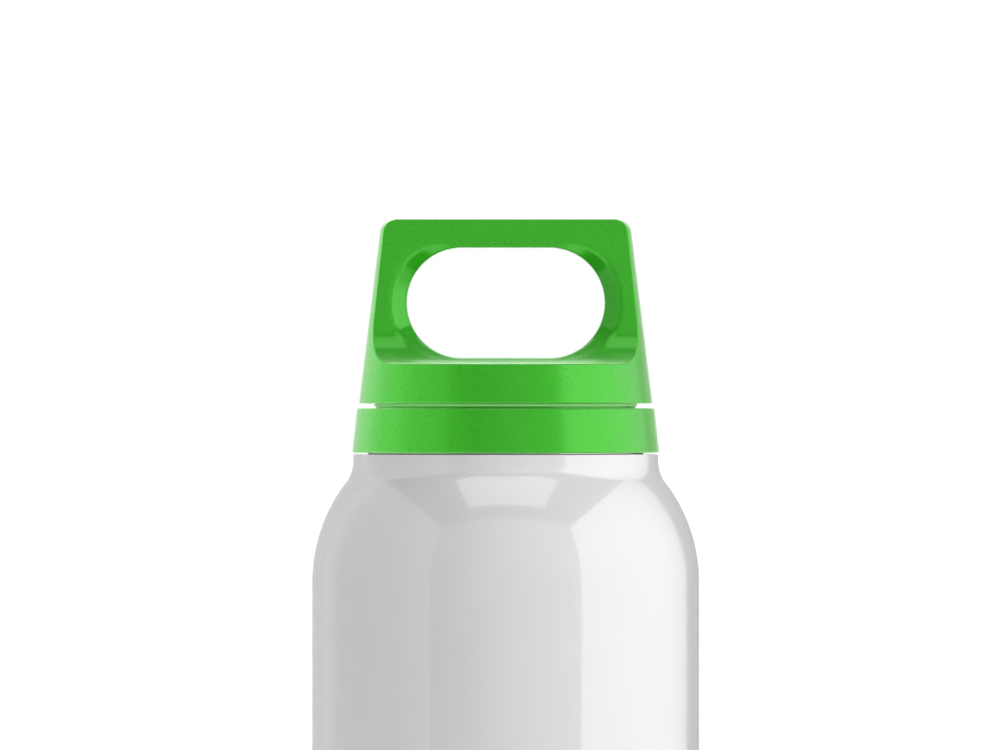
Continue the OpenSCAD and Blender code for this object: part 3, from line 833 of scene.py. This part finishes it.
lid_low, lid_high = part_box("lid_shell")
lid_h = lid_high.z - lid_low.z
lid_r = lid_high.y
draft, loop_draft, ledge_fall = radians(7), radians(4.5), radians(0.4)
loop_half = 5.3 * mm
scoop_r = 9 * mm
skirt_h = 7.35 * mm
corner_r = 2.3 * mm
window_half_h = 10.2 * mm
window_half_straight = 8.1 * mm
window_sill = 1.05 * mm
window_h = skirt_h + window_sill + window_half_h
hollow_in_r, hollow_h = 24.9 * mm, 5.3 * mm
soft_edge = 0.26 * mm
flare_w, flare_r = 3.8 * mm, 2.8 * mm
flare_slope, flare_lift = radians(38), radians(5)
flare_growth, flare_delay, flare_least = 1.25, 0.1, 0.02


def meet(a, b, rounding):
    """Distance from the body where two others overlap, its outer edge rounded."""
    both = np.minimum(a, b) > -rounding
    curved = np.hypot(a + rounding, b + rounding) - rounding
    return np.where(both, curved, np.maximum(a, b))


def lid_distance(x, y, z):
    """Signed distance from the lid's surface: below zero in the plastic, above zero outside it.

    The cone and the two scoops meet first. The flare then takes its slope off the window's rim,
    widest and steepest at the window's ends, before the window and the hollow are cut.
    """
    h = z - lid_low.z
    depth = np.abs(y)
    cone = (np.hypot(x, y) - (lid_r - h * tan(draft))) * cos(draft)
    outside = meet(meet(cone, h - lid_h, corner_r), -h, soft_edge)
    face = (depth - loop_half - (lid_h - h) * tan(loop_draft)) * cos(loop_draft)
    centre_h = skirt_h + scoop_r
    centre_y = loop_half + (lid_h - centre_h) * tan(loop_draft) + scoop_r / cos(loop_draft)
    ledge = (depth - centre_y) * sin(ledge_fall) + (h - centre_h) * cos(ledge_fall) + scoop_r
    to_face, to_ledge = scoop_r - face, scoop_r - ledge
    skew = sin(loop_draft + ledge_fall)
    squared = to_face**2 + to_ledge**2 - 2 * skew * to_face * to_ledge
    span = np.sqrt(np.maximum(0, squared)) / cos(loop_draft + ledge_fall)
    in_scoop = (to_face > skew * to_ledge) & (to_ledge > skew * to_face)
    loop = np.where(in_scoop, scoop_r - span, np.minimum(face, ledge))
    solid = meet(outside, loop, soft_edge)
    across = np.maximum(np.abs(x) - window_half_straight, 0)
    up = h - window_h
    from_middle = np.hypot(across, up)
    window = from_middle - window_half_h
    turn = (across * cos(flare_lift) + up * sin(flare_lift)) / np.maximum(from_middle, mm)
    share = np.clip(flare_growth * turn - flare_delay, flare_least, 1)
    slope = flare_slope * share
    reach, sink = flare_w * share - window, flare_r * share + solid
    sloped = reach * np.sin(slope) + sink * np.cos(slope)
    flared = np.where(np.arctan2(reach, sink) > slope, sloped, np.hypot(reach, sink)) - flare_r * share
    solid = meet(np.where(reach > 0, flared, solid), -window, soft_edge)
    hollow = np.maximum(np.hypot(x, y) - hollow_in_r, h - hollow_h)
    return meet(solid, -hollow, soft_edge)


def lid_slope(points, step=0.004 * mm):
    """The distance at each point, and the direction in which it grows fastest."""
    x, y, z = points.T
    grown_by = [lid_distance(x + dx, y + dy, z + dz) - lid_distance(x - dx, y - dy, z - dz)
                for dx, dy, dz in ((step, 0, 0), (0, step, 0), (0, 0, step))]
    gradient = np.stack(grown_by, axis=1) / (2 * step)
    return lid_distance(x, y, z), gradient


def settle(mesh, rounds, longest_move=0.3 * mm, least_steep=0.2):
    """Draws a mesh's points onto the lid's surface and gives them its exact normals."""
    points = np.empty(len(mesh.vertices) * 3)
    mesh.vertices.foreach_get("co", points)
    points = points.reshape(-1, 3)
    for _ in range(rounds):
        distance, gradient = lid_slope(points)
        steep = np.maximum((gradient**2).sum(axis=1), least_steep)
        points -= np.clip(distance / steep, -longest_move, longest_move)[:, None] * gradient
    mesh.vertices.foreach_set("co", points.ravel())
    mesh.update()
    gradient = lid_slope(points)[1]
    gradient /= np.maximum(np.linalg.norm(gradient, axis=1), 1e-9)[:, None]
    mesh.shade_smooth()
    mesh.normals_split_custom_set_from_vertices(gradient)


def applied(piece):
    """Makes a piece's modifiers part of its mesh."""
    bpy.context.view_layer.update()
    view = bpy.context.evaluated_depsgraph_get()
    mesh = bpy.data.meshes.new_from_object(piece.evaluated_get(view), depsgraph=view)
    piece.modifiers.clear()
    piece.data = mesh


skin_grid = 0.24 * mm
most_faces = 150000
lid_mesh = bpy.data.meshes.new("lid_moulding")
work = bmesh.new()
work.from_mesh(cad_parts["lid_shell"].data)
bmesh.ops.remove_doubles(work, verts=work.verts, dist=0.001 * mm)
work.to_mesh(lid_mesh)
work.free()
lid = bpy.data.objects.new("lid_moulding", lid_mesh)
bpy.context.collection.objects.link(lid)
even = lid.modifiers.new("even_skin", "REMESH")
even.mode = "VOXEL"
even.voxel_size = skin_grid
applied(lid)
settle(lid.data, rounds=5)
thinner = lid.modifiers.new("fewer_faces", "DECIMATE")
thinner.ratio = min(1.0, most_faces / (2 * len(lid.data.polygons)))
applied(lid)
settle(lid.data, rounds=3)
stands_for(lid, "lid_shell", "lid", green_plastic)


# ---- Studio ----
# A pale floor with a bright sheet round the bottle, in a square tent of lit cloth with small bright
# panels overhead and behind. The camera sees white through the cloth. Two side lights shine on the
# green pieces alone.

tent_half = 1.2
tent_z = shoulder_z + 10 * mm
floor_half, floor_drop = 1.15, 0.1 * mm
floor_grey, floor_glow, sheet_glow = 0.8, 0.42, 1.2
sheet_stops = ((0.11, 0.35), (0.17, 1.0), (0.45, 1.0), (0.65, 0.35))  # distance and share of the glow
floor_material = bpy.data.materials.new("pale_floor")
floor_material.use_nodes = True
tree = floor_material.node_tree
tree.nodes.clear()
diffuse = add(tree, "ShaderNodeBsdfDiffuse",
              {"Color": (floor_grey, floor_grey, floor_grey, 1)}).outputs[0]
light_path = add(tree, "ShaderNodeLightPath").outputs
seen = calc(tree, "ADD", light_path["Is Camera Ray"], light_path["Is Transmission Ray"])
place = add(tree, "ShaderNodeTexCoord").outputs["Object"]
away = add(tree, "ShaderNodeVectorMath", {0: place}, operation="LENGTH").outputs["Value"]
sheet = add(tree, "ShaderNodeValToRGB", {"Fac": away})
stops = sheet.color_ramp.elements
for distance, grey in sheet_stops[1:3]:
    stops.new(distance)
for stop, (distance, grey) in zip(stops, sheet_stops):
    stop.position = distance
    stop.color = (grey, grey, grey, 1)
sheet_level = calc(tree, "MULTIPLY", sheet.outputs[0], sheet_glow)
mirrored = calc(tree, "MULTIPLY", light_path["Is Glossy Ray"], sheet_level)
glow_level = calc(tree, "MULTIPLY_ADD", seen, floor_glow, mirrored)
glow = add(tree, "ShaderNodeEmission", {"Color": (1, 1, 1, 1), "Strength": glow_level}).outputs[0]
total = add(tree, "ShaderNodeAddShader", {0: diffuse, 1: glow}).outputs[0]
add(tree, "ShaderNodeOutputMaterial", {"Surface": total})
floor_mesh = bpy.data.meshes.new("floor")
floor_corners = ((-1, -1), (1, -1), (1, 1), (-1, 1))
floor_mesh.from_pydata([(x * floor_half, y * floor_half, -floor_drop) for x, y in floor_corners],
                       [], [(0, 1, 2, 3)])
floor_mesh.materials.append(floor_material)
floor = bpy.data.objects.new("floor", floor_mesh)
bpy.context.collection.objects.link(floor)


def tent_wall(name, centre, across, up, levels):
    """A cloth wall whose glow runs through the given levels, evenly spaced along across.

    Its centre and its two half sides are given for a tent of half width 1, about its middle.
    """
    centre = Vector(centre) * tent_half + Vector((0, 0, tent_z))
    across = Vector(across) * tent_half
    up = Vector(up) * tent_half
    corners = [centre - across - up, centre + across - up, centre + across + up, centre - across + up]
    mesh = bpy.data.meshes.new(name)
    mesh.from_pydata(corners, [], [(0, 1, 2, 3)])
    cloth = bpy.data.materials.new(name + "_cloth")
    cloth.use_nodes = True
    tree = cloth.node_tree
    tree.nodes.clear()
    place = add(tree, "ShaderNodeTexCoord").outputs["Object"]
    moved = add(tree, "ShaderNodeVectorMath", {0: place, 1: centre}, operation="SUBTRACT").outputs[0]
    share = add(tree, "ShaderNodeVectorMath", {0: moved, 1: across / across.length_squared},
                operation="DOT_PRODUCT").outputs["Value"]
    along = add(tree, "ShaderNodeMapRange", {"Value": share, "From Min": -1.0, "From Max": 1.0}).outputs[0]
    ramp = add(tree, "ShaderNodeValToRGB", {"Fac": along})
    stops = ramp.color_ramp.elements
    for _ in levels[2:]:
        stops.new(0.5)
    brightest = max(levels)
    for i, level in enumerate(levels):
        grey = level / brightest
        stops[i].position = i / (len(levels) - 1)
        stops[i].color = (grey, grey, grey, 1)
    shine = add(tree, "ShaderNodeEmission", {"Color": ramp.outputs[0], "Strength": brightest}).outputs[0]
    add(tree, "ShaderNodeOutputMaterial", {"Surface": shine})
    mesh.materials.append(cloth)
    wall = bpy.data.objects.new(name, mesh)
    wall.visible_camera = False
    bpy.context.collection.objects.link(wall)


tent_wall("tent_right", (1, 0, 0), (0, 1, 0), (0, 0, 1), (2.42, 1.86, 0.67))
tent_wall("tent_left", (-1, 0, 0), (0, 1, 0), (0, 0, 1), (0.91, 0.72, 0.73, 0.98))
tent_wall("tent_front", (0, -1, 0), (1, 0, 0), (0, 0, 1), (0.36, 0.52, 0.88, 0.94, 0.85))
tent_wall("tent_back", (0, 1, 0), (1, 0, 0), (0, 0, 1), (0.79, 0.60, 0.07))
tent_wall("back_panel", (0, 0.98, 0.45), (0.26, 0, 0), (0, 0, 0.55), (1.3, 1.3))
tent_wall("back_top_panel", (0, 0.72, 0.98), (0.4, 0, 0), (0, 0.26, 0), (0.8, 0.8))
tent_wall("tent_top", (0, 0, 1), (1, 0, 0), (0, 1, 0), (0.06, 0.175, 0.23))
tent_wall("overhead_panel", (0.01, -0.39, 0.98), (0.42, 0, 0), (0, 0.31, 0), (1.59, 1.59))

green_pieces = bpy.data.collections.new("green_pieces")
for piece in (collar, spout, lid):
    green_pieces.objects.link(piece)
lamp_away, lamp_size = 1.1, 0.25
side_lights = {"side_light_left": (radians(-95), 12.0), "side_light_right": (radians(95), 2.8)}
for name, (azimuth, watts) in side_lights.items():
    lamp_data = bpy.data.lights.new(name, "AREA")
    lamp_data.shape = "SQUARE"
    lamp_data.size = lamp_size
    lamp_data.energy = watts
    lamp = bpy.data.objects.new(name, lamp_data)
    lamp.location = (lamp_away * sin(azimuth), -lamp_away * cos(azimuth), tent_z)
    lamp.rotation_euler = (pi / 2, 0, azimuth)
    lamp.visible_camera = False
    lamp.visible_glossy = False
    lamp.light_linking.receiver_collection = green_pieces
    bpy.context.collection.objects.link(lamp)

world = bpy.data.worlds.new("studio")
bpy.context.scene.world = world
world.use_nodes = True
tree = world.node_tree
tree.nodes.clear()
light_path = add(tree, "ShaderNodeLightPath").outputs
seen = calc(tree, "ADD", light_path["Is Camera Ray"], light_path["Is Glossy Ray"])
seen = calc(tree, "ADD", seen, light_path["Is Transmission Ray"])
level = add(tree, "ShaderNodeMapRange", {"Value": seen, "To Min": 0.0, "To Max": 1.0}).outputs[0]
sky = add(tree, "ShaderNodeBackground", {"Color": (1, 1, 1, 1), "Strength": level}).outputs[0]
add(tree, "ShaderNodeOutputWorld", {"Surface": sky})
bpy.context.scene.view_settings.view_transform = "Standard"
